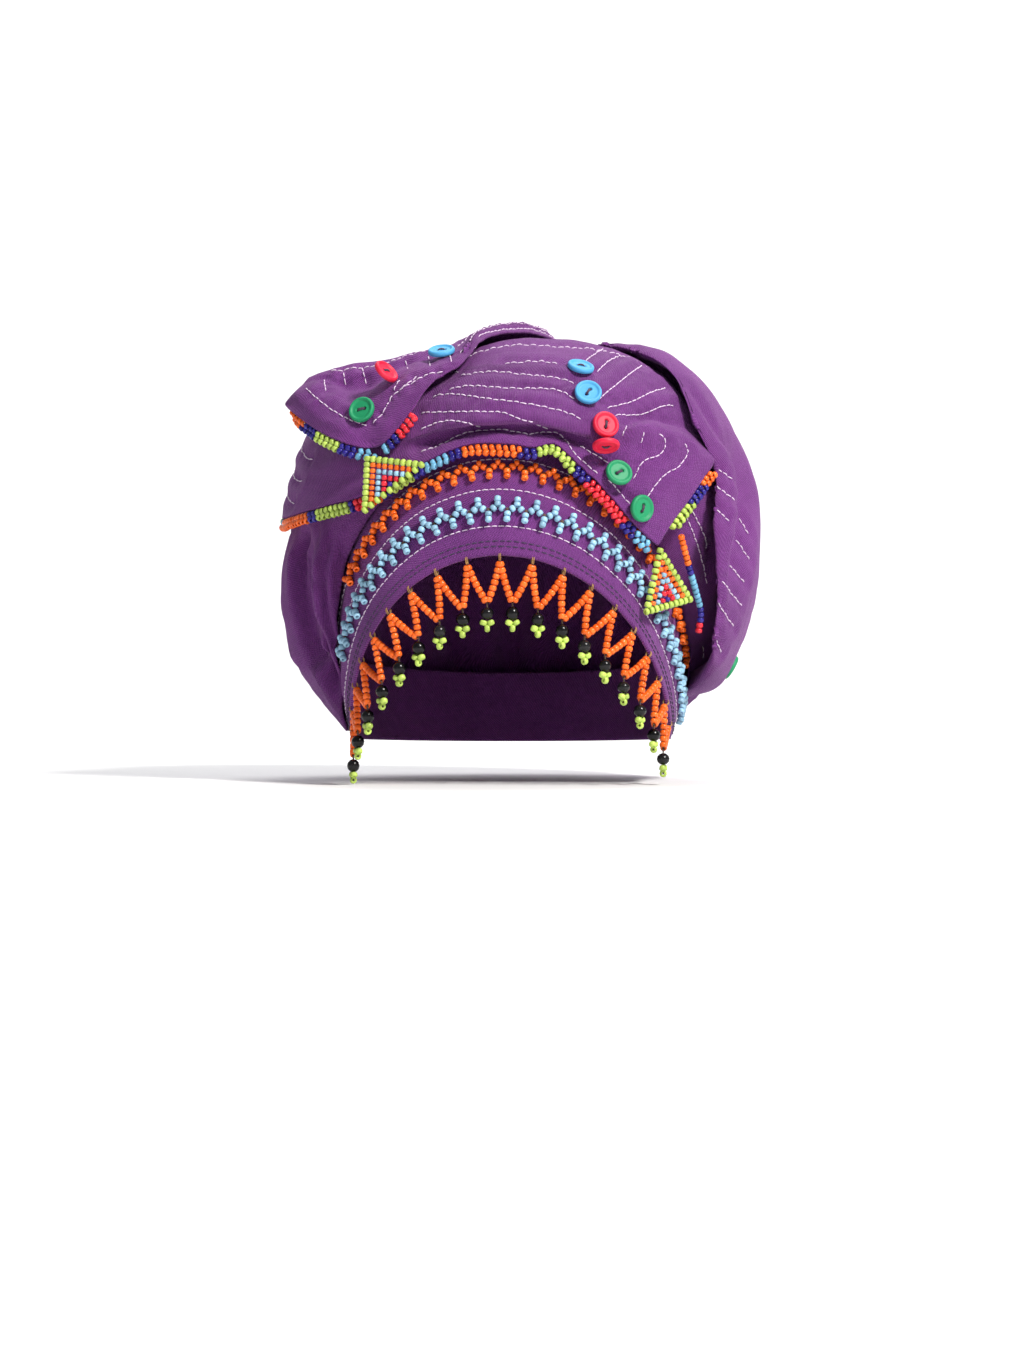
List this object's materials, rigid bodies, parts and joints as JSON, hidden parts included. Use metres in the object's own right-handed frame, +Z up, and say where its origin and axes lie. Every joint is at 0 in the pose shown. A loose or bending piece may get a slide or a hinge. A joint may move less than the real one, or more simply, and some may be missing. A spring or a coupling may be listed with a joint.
{
  "type": "beaded head wrap",
  "caption": "Ready-tied cotton head wrap with a folded top, a side roll, stitched edges, bead trims, a bead fringe and plastic buttons.",
  "frame": {"origin": "middle of the hollow that sits on a head, level with the front of the hem", "axes": "+Z up when worn, -Y to the front, +X to the right as seen from the front"},
  "size_m": [0.2523, 0.2368, 0.2408],
  "materials": {
    "purple_cotton": "plain woven cotton with pale running stitches",
    "orange_beads": "glossy beads",
    "light_blue_beads": "glossy beads",
    "mixed_beads": "glossy beads in repeating colours",
    "blue_button": "glossy moulded plastic",
    "red_button": "glossy moulded plastic",
    "green_button": "glossy moulded plastic"
  },
  "bodies": {
    "root": {"brim_band": "purple_cotton", "crown_bag": "purple_cotton", "front_cloth": "purple_cotton", "folded_corner": "purple_cotton", "side_roll": "purple_cotton", "blue_bead_row": "light_blue_beads", "orange_bead_row": "orange_beads", "left_bead_triangle": "mixed_beads", "right_bead_triangle": "mixed_beads", "bead_fringe": "orange_beads", "hanging_strand": "mixed_beads", "front_bead_edge": "mixed_beads", "right_bead_edge": "mixed_beads", "corner_left_bead_edge": "mixed_beads", "corner_right_bead_edge": "mixed_beads", "blue_button_1": "blue_button", "blue_button_2": "blue_button", "blue_button_3": "blue_button", "blue_button_4": "blue_button", "red_button_1": "red_button", "red_button_2": "red_button", "red_button_3": "red_button", "red_button_4": "red_button", "green_button_1": "green_button", "green_button_2": "green_button", "green_button_3": "green_button", "green_button_4": "green_button"}
  },
  "joints": []
}
